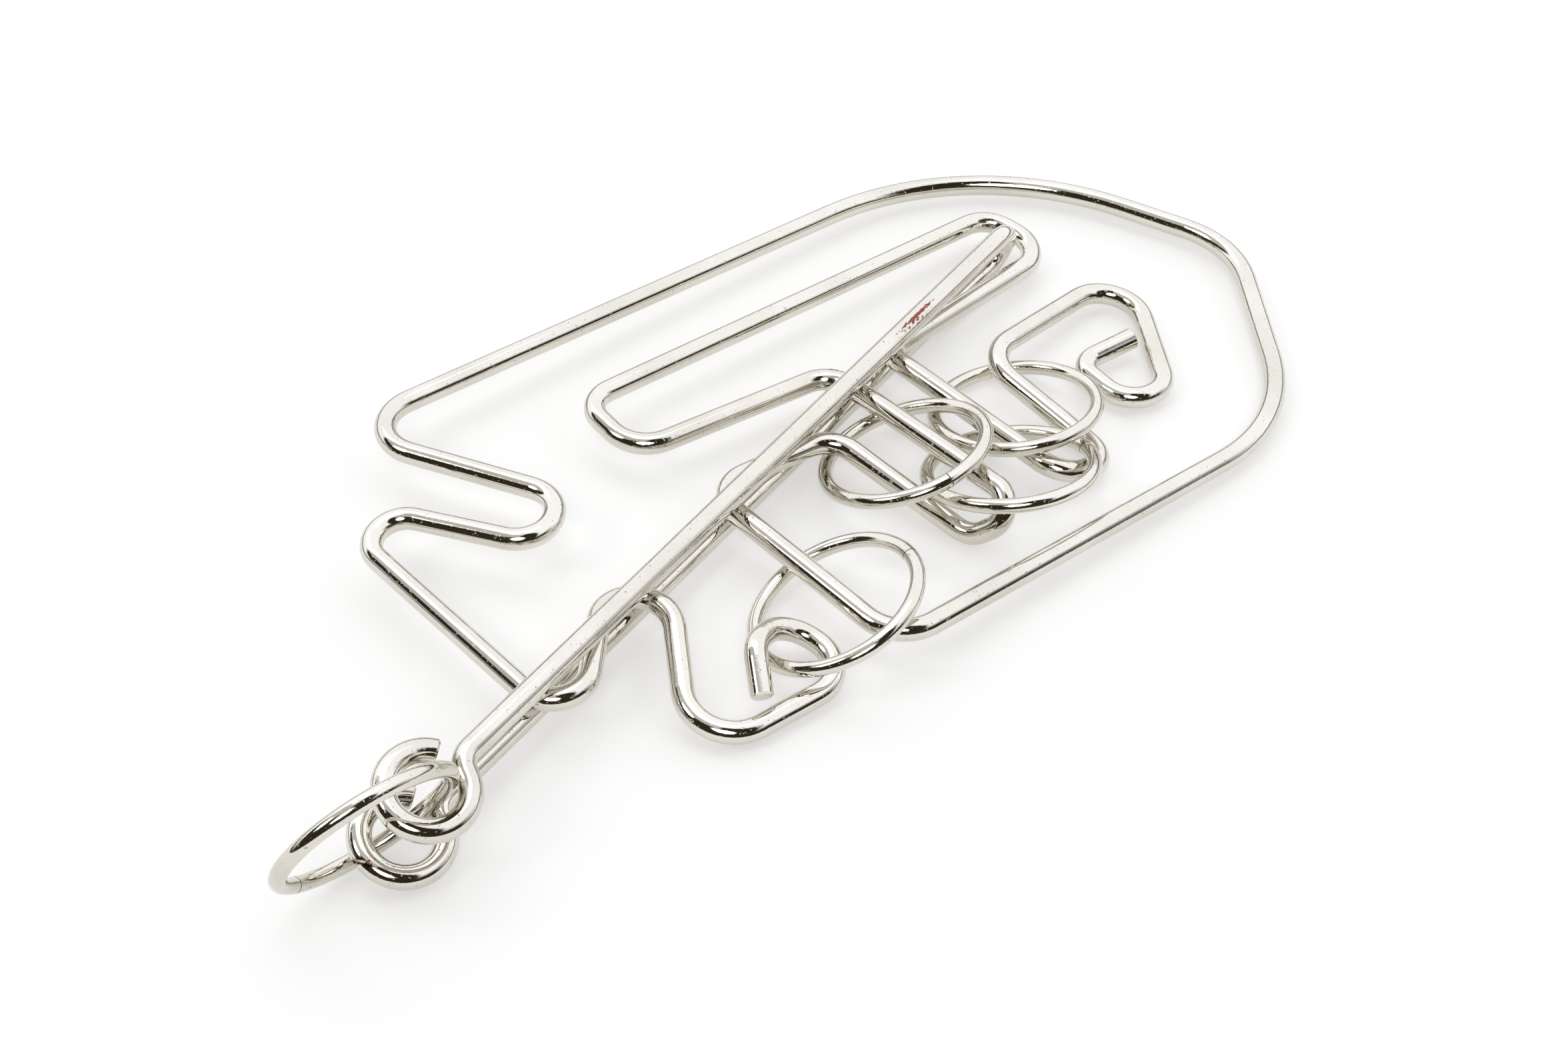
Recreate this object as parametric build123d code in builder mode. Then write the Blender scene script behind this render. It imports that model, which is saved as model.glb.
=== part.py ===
"""Bent-wire disentanglement puzzle: a bent frame, a sliding shuttle and five wire rings.

Millimetres, +Z up, resting on the table at z = 0. +X runs along the shuttle.
"""
import os
from math import acos, cos, degrees, radians, sin

from build123d import *

# ---- wire sizes ----
FRAME_WIRE = 3.0          # diameter of the wire of the frame and the shuttle
RING_WIRE = 2.0           # diameter of the ring wire
RING_RADIUS = 11.0        # centreline radius of all five rings
END_CHAMFER = 0.25        # broken edge on the cut ends of the wire
JOINT_GAP = 0.15          # fine slit where the two ends of a ring meet

# ---- where the middle of the base lies in the layout below ----
BASE_X = 1.55
BASE_Y = 5.7
BASE_Z = -0.2

# ---- shuttle: a narrow U lying along X, an open eye bent at each leg end ----
SHUTTLE_END_X = 60.0      # where the legs meet the closed bend
SHUTTLE_RISE = 0.0139     # height gained per mm towards the eyes
SHUTTLE_DRIFT = -0.0079   # sideways shift per mm towards the eyes
LOWER_LEG_Y = 7.1
LOWER_LEG_Z = 1.3
UPPER_LEG_Y = 5.35
UPPER_LEG_Z = 7.8
LOWER_LEG_LENGTH = 118.6
UPPER_LEG_LENGTH = 115.4
EYE_RADIUS = 5.0          # centreline radius of an eye
EYE_NECK_RADIUS = 3.0     # outward bend between the leg and its eye
EYE_TILT = 20.0           # degrees the eyes' plane leans up about X
EYE_MOUTH = 28.0          # degrees short of the leg line at which the wire is cut

# ---- frame: corners of the wire's centreline, x, y, z and bend radius ----
TAIL = [
    (58.0, -18.5, 2.8, 0),
    (49.5, -14.5, 1.8, 2.5),
]
HEART = [
    (43.0, -36.0, 1.6, 4.5),
    (72.0, -9.5, 1.6, 5.5),
    (40.5, -4.5, 4.6, 5.5),
]
UPPER_FINGER = [
    (36.5, -27.5, 1.0, 3.5),
    (27.5, -25.5, 3.8, 4.5),
    (33.0, 6.5, 5.0, 2.5),
]
LONG_LOOP = [
    (67.5, 1.0, 2.6, 5.0),
    (67.5, 12.0, 4.0, 5.0),
    (0.0, 33.5, 5.8, 4.0),
    (-3.0, 22.0, 5.4, 5.5),
    (25.5, 10.5, 4.6, 4.5),
]
LOWER_FINGER = [
    (16.5, -27.0, 7.6, 3.0),
    (13.5, -20.0, 1.0, 4.0),
    (15.0, 3.0, 5.0, 5.0),
    (-3.0, 10.0, 5.4, 4.5),
]
BOW = [
    (-9.5, -24.0, 4.4, 6.0),
    (57.0, -44.0, 1.4, 24.5),
    (85.5, -20.0, 2.0, 14.5),
    (80.5, 24.0, 2.0, 40.0),
]
ZIGZAG = [
    (-24.0, 55.5, 6.6, 6.0),
    (-15.5, 23.5, 6.4, 5.0),
    (-24.5, 20.5, 7.0, 4.5),
    (-34.5, 51.0, 6.0, 4.0),
]
ARCH = [
    (-45.0, -3.0, 6.0, 4.5),
    (-26.0, 9.0, 5.8, 4.0),
    (-20.5, 2.5, 5.6, 5.0),
]
HOOK = [
    (-37.5, -13.5, 1.6, 6.0),
    (-14.0, -21.5, 1.4, 4.5),
    (-14.0, -10.0, 3.6, 4.5),
    (-21.5, -11.0, 6.6, 3.5),
    (-26.0, -15.5, 4.0, 0),
]

# ---- rings: x, y and z of the centre, tilt about X, tilt about Y, angle where the ends meet ----
HOOK_RING = (-9.6, -14.7, 5.6, -23.5, -9.0, -33)
LOWER_FINGER_RING = (17.3, -7.1, 6.0, -22.0, 0.0, -113)
LINK_RING = (23.8, -19.4, 5.0, -16.5, 11.5, -32)
UPPER_FINGER_RING = (35.1, -13.2, 3.9, -14.0, 6.5, 52)
HANDLE_RING = (-71.5, 5.3, 11.4, -66.5, 15.0, 135)


def placed(x, y, z):
    """A point of the layout, moved so that the middle of the base is the origin."""
    return Vector(x - BASE_X, y - BASE_Y, z - BASE_Z)


def frame_route():
    """Centreline of the frame: one polyline with every corner rounded to its bend radius."""
    corners = TAIL + HEART + UPPER_FINGER + LONG_LOOP + LOWER_FINGER + BOW + ZIGZAG + ARCH + HOOK
    points = [placed(x, y, z) for x, y, z, bend in corners]
    bends = [bend for x, y, z, bend in corners[1:-1]]
    with BuildLine() as route:
        FilletPolyline(*points, radius=bends)
    return route.wire()


def eye_points(leg_end, along, across):
    """Points that fix an eye's two arcs: through the neck, then round to the cut end."""
    swing = acos(EYE_NECK_RADIUS / (EYE_NECK_RADIUS + EYE_RADIUS))
    centre = leg_end + along * (EYE_NECK_RADIUS + EYE_RADIUS) * sin(swing)

    def on_neck(angle):
        forward = along * EYE_NECK_RADIUS * sin(angle)
        return leg_end + forward - across * EYE_NECK_RADIUS * (1 - cos(angle))

    def on_eye(angle):
        return centre - along * EYE_RADIUS * cos(angle) + across * EYE_RADIUS * sin(angle)

    mouth = radians(EYE_MOUTH)
    halfway = radians(180) + (mouth - (radians(90) - swing)) / 2
    return [leg_end, on_neck(swing / 2), on_neck(swing), on_eye(halfway), on_eye(mouth)]


def shuttle_route():
    """Centreline of the shuttle: eye, leg, closed bend, leg, eye."""
    along = Vector(-1, SHUTTLE_DRIFT, SHUTTLE_RISE).normalized()
    tilt = radians(EYE_TILT)
    across = Vector(0, cos(tilt), sin(tilt))
    across = (across - along * across.dot(along)).normalized()
    spread = Vector(0, UPPER_LEG_Y - LOWER_LEG_Y, UPPER_LEG_Z - LOWER_LEG_Z)
    spread = spread - along * spread.dot(along)
    lower_start = placed(SHUTTLE_END_X, LOWER_LEG_Y, LOWER_LEG_Z)
    upper_start = lower_start + spread
    bend_tip = lower_start + spread * 0.5 - along * (spread.length / 2)
    upper = eye_points(upper_start + along * UPPER_LEG_LENGTH, along, across)
    lower = eye_points(lower_start + along * LOWER_LEG_LENGTH, along, across)
    with BuildLine() as route:
        ThreePointArc(upper[4], upper[3], upper[2])
        ThreePointArc(upper[2], upper[1], upper[0])
        Line(upper[0], upper_start)
        ThreePointArc(upper_start, bend_tip, lower_start)
        Line(lower_start, lower[0])
        ThreePointArc(lower[0], lower[1], lower[2])
        ThreePointArc(lower[2], lower[3], lower[4])
    return route.wire()


def ring_route(x, y, z, tilt_x, tilt_y, turn):
    """Centreline of a ring, all but the fine slit where its two ends meet."""
    slit = degrees(JOINT_GAP / RING_RADIUS)
    lay = Plane(Location(placed(x, y, z), (tilt_x, tilt_y, turn)))
    with BuildLine(lay) as route:
        CenterArc((0, 0), RING_RADIUS, slit / 2, 360 - slit)
    return route.wire()


def across_start(route):
    """The plane square to the start of a route."""
    return Plane(origin=route @ 0, z_dir=route % 0)


def cut_edges(body):
    """The round edges of the two cut ends of a wire."""
    return body.faces().filter_by(GeomType.PLANE).edges()


# ---- frame_wire: one continuous wire ----
with BuildPart() as frame_wire:
    frame_line = frame_route()
    with BuildSketch(across_start(frame_line)):
        Circle(FRAME_WIRE / 2)
    sweep(path=frame_line)
    chamfer(cut_edges(frame_wire), END_CHAMFER)

# ---- shuttle: one wire that straddles the frame ----
with BuildPart() as shuttle:
    shuttle_line = shuttle_route()
    with BuildSketch(across_start(shuttle_line)):
        Circle(FRAME_WIRE / 2)
    sweep(path=shuttle_line)
    chamfer(cut_edges(shuttle), END_CHAMFER)

# ---- rings ----
with BuildPart() as handle_ring:
    handle_line = ring_route(*HANDLE_RING)
    with BuildSketch(across_start(handle_line)):
        Circle(RING_WIRE / 2)
    sweep(path=handle_line)

with BuildPart() as hook_ring:
    hook_line = ring_route(*HOOK_RING)
    with BuildSketch(across_start(hook_line)):
        Circle(RING_WIRE / 2)
    sweep(path=hook_line)

with BuildPart() as lower_finger_ring:
    lower_finger_line = ring_route(*LOWER_FINGER_RING)
    with BuildSketch(across_start(lower_finger_line)):
        Circle(RING_WIRE / 2)
    sweep(path=lower_finger_line)

with BuildPart() as link_ring:
    link_line = ring_route(*LINK_RING)
    with BuildSketch(across_start(link_line)):
        Circle(RING_WIRE / 2)
    sweep(path=link_line)

with BuildPart() as upper_finger_ring:
    upper_finger_line = ring_route(*UPPER_FINGER_RING)
    with BuildSketch(across_start(upper_finger_line)):
        Circle(RING_WIRE / 2)
    sweep(path=upper_finger_line)

os.makedirs("parts", exist_ok=True)

frame_wire.part.label = "frame_wire"
export_step(frame_wire.part, "parts/frame_wire.step")

shuttle.part.label = "shuttle"
export_step(shuttle.part, "parts/shuttle.step")

handle_ring.part.label = "handle_ring"
export_step(handle_ring.part, "parts/handle_ring.step")

hook_ring.part.label = "hook_ring"
export_step(hook_ring.part, "parts/hook_ring.step")

lower_finger_ring.part.label = "lower_finger_ring"
export_step(lower_finger_ring.part, "parts/lower_finger_ring.step")

link_ring.part.label = "link_ring"
export_step(link_ring.part, "parts/link_ring.step")

upper_finger_ring.part.label = "upper_finger_ring"
export_step(upper_finger_ring.part, "parts/upper_finger_ring.step")
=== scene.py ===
import math

import bpy
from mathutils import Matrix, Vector

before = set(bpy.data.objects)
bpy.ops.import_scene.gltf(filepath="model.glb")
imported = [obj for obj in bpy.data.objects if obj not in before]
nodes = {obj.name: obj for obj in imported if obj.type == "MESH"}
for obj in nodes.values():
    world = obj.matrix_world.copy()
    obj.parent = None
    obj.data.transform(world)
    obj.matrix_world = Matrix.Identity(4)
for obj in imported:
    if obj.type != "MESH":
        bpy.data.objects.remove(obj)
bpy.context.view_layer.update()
scene = bpy.context.scene

# ---- camera: the photograph's viewing angle, in metres ----
CAMERA_AT = Vector((-0.1691, -0.1265, 0.2171))
LOOK_AT = Vector((-0.0016, -0.0057, 0.0032))
LENS_MM = 52.8
SENSOR_MM = 36.0
NEAREST = 0.01
FARTHEST = 20.0

# ---- nickel plate: colours, roughness and depth of grain ----
WIRE_BRIGHT = (0.74, 0.715, 0.65, 1)
WIRE_DULL = (0.66, 0.635, 0.565, 1)
RING_BRIGHT = (0.735, 0.71, 0.64, 1)
RING_DULL = (0.65, 0.625, 0.55, 1)
PIT = (0.16, 0.14, 0.11, 1)
RUST = (0.25, 0.085, 0.060, 1)
FRAME_ROUGHNESS, FRAME_GRAIN = 0.05, 0.12
SHUTTLE_ROUGHNESS, SHUTTLE_GRAIN = 0.06, 0.14
RING_ROUGHNESS, RING_GRAIN = 0.07, 0.40
WORN_ROUGHNESS = 0.16         # added where the plate is scuffed
PIT_STRENGTH = 0.55
RIPPLE_HEIGHT = 0.6
WORN_DEPTH = 0.5
BUMP_STRENGTH = 0.4
BUMP_HEIGHT = 0.00005

# ---- rust spots: middle and half lengths in metres, and how much has broken through ----
LOOP_CORNER = ((0.0234, 0.0040, 0.0062), (0.0018, 0.0018, 0.0004), 0.6)
LEG_STREAK = ((0.0364, -0.0010, 0.0095), (0.0050, 0.0004, 0.0020), 0.95)
LEG_FRECKLES = ((0.0345, -0.0012, 0.0090), (0.0140, 0.0016, 0.0024), 0.30)
LOWER_EYE = ((-0.0734, 0.0002, 0.0046), (0.0010, 0.0006, 0.0006), 0.8)
INSIDE_EYES = ((-0.0625, -0.0006, 0.0041), (0.0006, 0.0006, 0.0012), 0.8)

# ---- floor ----
FLOOR_HALF = 1.6
FLOOR_DROP = 0.00005          # just below the wires that rest at z = 0
FLOOR_DARKER = (0.56, 0.555, 0.545, 1)
FLOOR_PALER = (0.59, 0.585, 0.575, 1)
FLOOR_ROUGHNESS = 0.9
FLOOR_SHINE = 0.2
FLOOR_GLOW = 0.42             # painted light: the floor glows, which fills its own shadows

# ---- room: what the plate reflects, and the lamps in it ----
ROOM_PALE = (1.27, 1.28, 1.34, 1)
ROOM_DARK = (0.036, 0.030, 0.019, 1)
SURROUND = (0.034, 0.028, 0.018, 1)
BACKDROP = (0.97, 0.97, 0.98, 1)
ROOM_FRONT = (-0.81, -0.58, 0)
LAMP_WARMTH = 0.98
# direction, then degrees from it: even core, soft rim, dark surround, its edge; then brightness
ROOM_LAMPS = (
    ((-0.5634, -0.4064, 0.7193), 12, 15, 38, 44, 4.0),
    ((-0.5634, 0.4064, 0.7193), 9, 12, 31, 36, 3.4),
)
KEY_AT = Vector((-0.15, 0.45, 1.2))
KEY_SIZE = 1.5
KEY_WATTS = 4.2


def add_camera():
    data = bpy.data.cameras.new("camera")
    data.lens = LENS_MM
    data.sensor_width = SENSOR_MM
    data.clip_start = NEAREST
    data.clip_end = FARTHEST
    camera = bpy.data.objects.new("camera", data)
    camera.location = CAMERA_AT
    camera.rotation_euler = (LOOK_AT - CAMERA_AT).to_track_quat("-Z", "Y").to_euler()
    scene.collection.objects.link(camera)
    scene.camera = camera


# ---- node helpers ----
def new_material(name):
    material = bpy.data.materials.new(name)
    material.use_nodes = True
    tree = material.node_tree
    tree.nodes.clear()
    output = tree.nodes.new("ShaderNodeOutputMaterial")
    shader = tree.nodes.new("ShaderNodeBsdfPrincipled")
    tree.links.new(shader.outputs["BSDF"], output.inputs["Surface"])
    return material, tree, shader


def feed(tree, socket, value):
    """Give a socket a constant, or link it to another node's output."""
    if isinstance(value, bpy.types.NodeSocket):
        tree.links.new(value, socket)
    else:
        socket.default_value = value


def noise(tree, place, scale, detail, stretch=(1, 1, 1)):
    mapping = tree.nodes.new("ShaderNodeMapping")
    mapping.inputs["Scale"].default_value = stretch
    tree.links.new(place, mapping.inputs["Vector"])
    node = tree.nodes.new("ShaderNodeTexNoise")
    node.inputs["Scale"].default_value = scale
    node.inputs["Detail"].default_value = detail
    tree.links.new(mapping.outputs["Vector"], node.inputs["Vector"])
    return node.outputs["Fac"]


def spread(tree, value, low, high, to_low, to_high):
    """Map low..high onto to_low..to_high, clamped at both ends."""
    node = tree.nodes.new("ShaderNodeMapRange")
    node.clamp = True
    node.inputs["From Min"].default_value = low
    node.inputs["From Max"].default_value = high
    node.inputs["To Min"].default_value = to_low
    node.inputs["To Max"].default_value = to_high
    tree.links.new(value, node.inputs["Value"])
    return node.outputs["Result"]


def arithmetic(tree, kind, a, b):
    node = tree.nodes.new("ShaderNodeMath")
    node.operation = kind
    feed(tree, node.inputs[0], a)
    feed(tree, node.inputs[1], b)
    return node.outputs["Value"]


def scaled(tree, value, factor):
    return arithmetic(tree, "MULTIPLY", value, factor)


def colour_mix(tree, factor, a, b):
    node = tree.nodes.new("ShaderNodeMix")
    node.data_type = "RGBA"
    tree.links.new(factor, node.inputs["Factor"])
    feed(tree, node.inputs[6], a)
    feed(tree, node.inputs[7], b)
    return node.outputs[2]


# ---- nickel plate ----
def rust_mask(tree, place, centre, reach, cover):
    """A ragged patch of rust: 1 where it has broken through the plate, 0 elsewhere."""
    shrink = [1 / length for length in reach]
    stretch = tree.nodes.new("ShaderNodeMapping")
    stretch.inputs["Scale"].default_value = shrink
    tree.links.new(place, stretch.inputs["Vector"])
    distance = tree.nodes.new("ShaderNodeVectorMath")
    distance.operation = "DISTANCE"
    tree.links.new(stretch.outputs["Vector"], distance.inputs[0])
    distance.inputs[1].default_value = [middle * factor for middle, factor in zip(centre, shrink)]
    near = spread(tree, distance.outputs["Value"], 0.3, 1.0, 1, 0)
    speckle = noise(tree, place, 3600, 3, (0.5, 1, 1))
    patch = arithmetic(tree, "ADD", near, scaled(tree, speckle, 2.2))
    return spread(tree, patch, 2.45 - cover, 2.6 - cover, 0, 1)


def plating(name, bright, dull, roughness, grain_depth, rust_spots):
    """Nickel plate: a warm grey that varies slowly, fine pits and scuffs, and spots of rust."""
    material, tree, shader = new_material(name)
    place = tree.nodes.new("ShaderNodeTexCoord").outputs["Object"]
    cloud = spread(tree, noise(tree, place, 90, 4), 0.38, 0.66, 0, 1)
    scuff = spread(tree, noise(tree, place, 900, 6, (1, 1, 1.6)), 0.5, 0.72, 0, 1)
    pit = spread(tree, noise(tree, place, 2600, 3), 0.66, 0.74, 0, 1)
    patch = spread(tree, noise(tree, place, 240, 3), 0.52, 0.66, 0, 1)
    wear = arithmetic(tree, "MULTIPLY", scuff, patch)
    colour = colour_mix(tree, cloud, bright, dull)
    colour = colour_mix(tree, scaled(tree, pit, PIT_STRENGTH), colour, PIT)
    for centre, reach, cover in rust_spots:
        rusted = rust_mask(tree, place, centre, reach, cover)
        colour = colour_mix(tree, rusted, colour, RUST)
    tree.links.new(colour, shader.inputs["Base Color"])
    rough = arithmetic(tree, "ADD", roughness, scaled(tree, wear, WORN_ROUGHNESS))
    tree.links.new(rough, shader.inputs["Roughness"])
    shader.inputs["Metallic"].default_value = 1.0
    ripple = scaled(tree, noise(tree, place, 420, 2), RIPPLE_HEIGHT)
    grain = scaled(tree, noise(tree, place, 2800, 3), grain_depth)
    height = arithmetic(tree, "SUBTRACT", arithmetic(tree, "ADD", ripple, grain), pit)
    height = arithmetic(tree, "SUBTRACT", height, scaled(tree, wear, WORN_DEPTH))
    bump = tree.nodes.new("ShaderNodeBump")
    bump.inputs["Strength"].default_value = BUMP_STRENGTH
    bump.inputs["Distance"].default_value = BUMP_HEIGHT
    tree.links.new(height, bump.inputs["Height"])
    tree.links.new(bump.outputs["Normal"], shader.inputs["Normal"])
    return material


def finish_nodes():
    """Give every node of the frame its plate."""
    frame_plate = plating("frame_plate", WIRE_BRIGHT, WIRE_DULL, FRAME_ROUGHNESS, FRAME_GRAIN, [LOOP_CORNER])
    shuttle_rust = [LEG_STREAK, LEG_FRECKLES, LOWER_EYE, INSIDE_EYES]
    shuttle_plate = plating(
        "shuttle_plate", WIRE_BRIGHT, WIRE_DULL, SHUTTLE_ROUGHNESS, SHUTTLE_GRAIN, shuttle_rust
    )
    ring_plate = plating("ring_plate", RING_BRIGHT, RING_DULL, RING_ROUGHNESS, RING_GRAIN, [])
    wire_plates = {"frame_wire": frame_plate, "shuttle": shuttle_plate}
    for name, node in nodes.items():
        for slot in node.material_slots:
            slot.material = wire_plates.get(name, ring_plate)


# ---- floor and light ----
def add_floor():
    mesh = bpy.data.meshes.new("floor")
    half = FLOOR_HALF
    corners = [(-half, -half, 0), (half, -half, 0), (half, half, 0), (-half, half, 0)]
    mesh.from_pydata(corners, [], [(0, 1, 2, 3)])
    floor = bpy.data.objects.new("floor", mesh)
    floor.location = (0, 0, -FLOOR_DROP)
    scene.collection.objects.link(floor)
    material, tree, shader = new_material("floor_white")
    place = tree.nodes.new("ShaderNodeTexCoord").outputs["Object"]
    tone = spread(tree, noise(tree, place, 3, 2), 0.3, 0.7, 0, 1)
    colour = colour_mix(tree, tone, FLOOR_DARKER, FLOOR_PALER)
    tree.links.new(colour, shader.inputs["Base Color"])
    shader.inputs["Roughness"].default_value = FLOOR_ROUGHNESS
    shader.inputs["Specular IOR Level"].default_value = FLOOR_SHINE
    # painted light: the floor glows, which fills the shadows cast on it
    shader.inputs["Emission Color"].default_value = (1, 1, 1, 1)
    shader.inputs["Emission Strength"].default_value = FLOOR_GLOW
    mesh.materials.append(material)


def add_key_light():
    """A square softbox high above the table, aimed at the middle of the puzzle."""
    data = bpy.data.lights.new("key", "AREA")
    data.shape = "RECTANGLE"
    data.size = KEY_SIZE
    data.size_y = KEY_SIZE
    data.energy = KEY_WATTS
    lamp = bpy.data.objects.new("key", data)
    lamp.location = KEY_AT
    lamp.rotation_euler = (-KEY_AT).to_track_quat("-Z", "Y").to_euler()
    scene.collection.objects.link(lamp)


def facing(tree, direction_seen, direction):
    """Cosine of the angle between the direction seen and a fixed direction of the room."""
    node = tree.nodes.new("ShaderNodeVectorMath")
    node.operation = "DOT_PRODUCT"
    tree.links.new(direction_seen, node.inputs[0])
    node.inputs[1].default_value = Vector(direction).normalized()
    return node.outputs["Value"]


def add_room():
    """A pale room, dark low down in front and at the horizon, with soft lamps in dark surrounds.

    The dark parts give the wire its dark lines. The camera itself sees a plain pale backdrop.
    """
    world = bpy.data.worlds.new("room")
    scene.world = world
    world.use_nodes = True
    tree = world.node_tree
    tree.nodes.clear()
    output = tree.nodes.new("ShaderNodeOutputWorld")
    background = tree.nodes.new("ShaderNodeBackground")
    tree.links.new(background.outputs["Background"], output.inputs["Surface"])
    seen = tree.nodes.new("ShaderNodeTexCoord").outputs["Generated"]
    height = facing(tree, seen, (0, 0, 1))
    front = facing(tree, seen, ROOM_FRONT)
    horizon = spread(tree, height, 0.04, 0.22, 1, 0)
    wall = spread(tree, height, 0.37, 0.62, 1, 0)
    wall = arithmetic(tree, "MULTIPLY", wall, spread(tree, front, -0.2, 0.35, 0, 1))
    dusk = arithmetic(tree, "MAXIMUM", horizon, wall)
    colour = colour_mix(tree, dusk, ROOM_PALE, ROOM_DARK)
    for direction, core, rim, dark, edge, power in ROOM_LAMPS:
        closeness = facing(tree, seen, direction)
        core, rim, dark, edge = [math.cos(math.radians(angle)) for angle in (core, rim, dark, edge)]
        surround = spread(tree, closeness, edge, dark, 0, 1)
        lamp = spread(tree, closeness, rim, core, 0, 1)
        colour = colour_mix(tree, surround, colour, SURROUND)
        colour = colour_mix(tree, lamp, colour, (power, power, power * LAMP_WARMTH, 1))
    to_camera = tree.nodes.new("ShaderNodeLightPath").outputs["Is Camera Ray"]
    colour = colour_mix(tree, to_camera, colour, BACKDROP)
    tree.links.new(colour, background.inputs["Color"])
    background.inputs["Strength"].default_value = 1.0


add_camera()
finish_nodes()
add_floor()
add_room()
add_key_light()
scene.view_settings.view_transform = "Standard"
